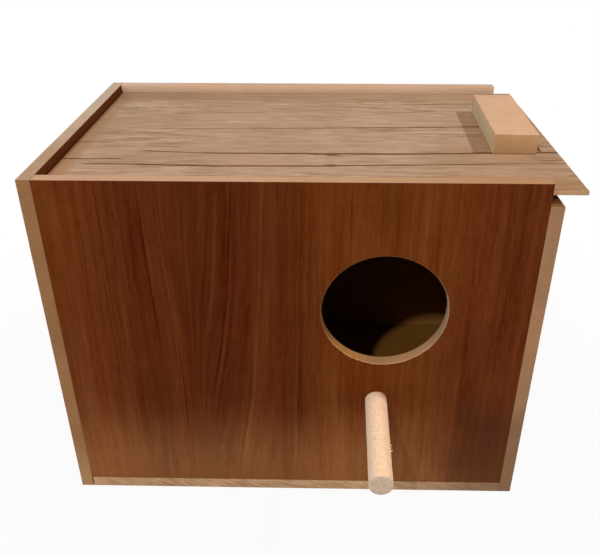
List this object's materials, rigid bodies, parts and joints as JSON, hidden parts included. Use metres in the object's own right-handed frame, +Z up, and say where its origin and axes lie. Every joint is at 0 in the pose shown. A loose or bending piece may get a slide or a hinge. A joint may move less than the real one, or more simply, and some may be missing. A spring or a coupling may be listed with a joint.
{
  "type": "parrot nest box",
  "caption": "Horizontal board nest box with a round entrance, a dowel perch below it and a thin lid that slides out sideways by a block handle.",
  "frame": {"origin": "centre of the underside of the box, the lid's overhang and the perch left out", "axes": "+Z up, -Y out of the front panel, +X the way the lid slides out"},
  "size_m": [0.313, 0.2786, 0.237],
  "materials": {
    "walnut_board": "satin walnut-print melamine on fibreboard, bare fibreboard at the cut edges",
    "oak_print_board": "matte weathered-oak print",
    "raw_fibreboard": "bare, uncoated",
    "raw_dowel": "bare, slightly fuzzy grain",
    "brad_steel": "bright wire"
  },
  "bodies": {
    "box": {"front_panel": "walnut_board", "back_panel": "walnut_board", "left_panel": "walnut_board", "right_panel": "walnut_board", "floor_panel": "walnut_board", "perch": "raw_dowel", "left_front_brads": "brad_steel", "left_back_brads": "brad_steel", "left_floor_brads": "brad_steel", "right_front_brads": "brad_steel", "right_floor_brads": "brad_steel", "back_right_brads": "brad_steel", "back_floor_brads": "brad_steel", "floor_front_brads": "brad_steel"},
    "sliding_lid": {"lid": "oak_print_board", "lid_handle": "raw_fibreboard", "handle_brads": "brad_steel"}
  },
  "joints": [
    {"name": "lid_slide", "type": "slide", "parent": "box", "child": "sliding_lid", "axis": [1, 0, 0], "range_m": [0, 0.295]}
  ]
}
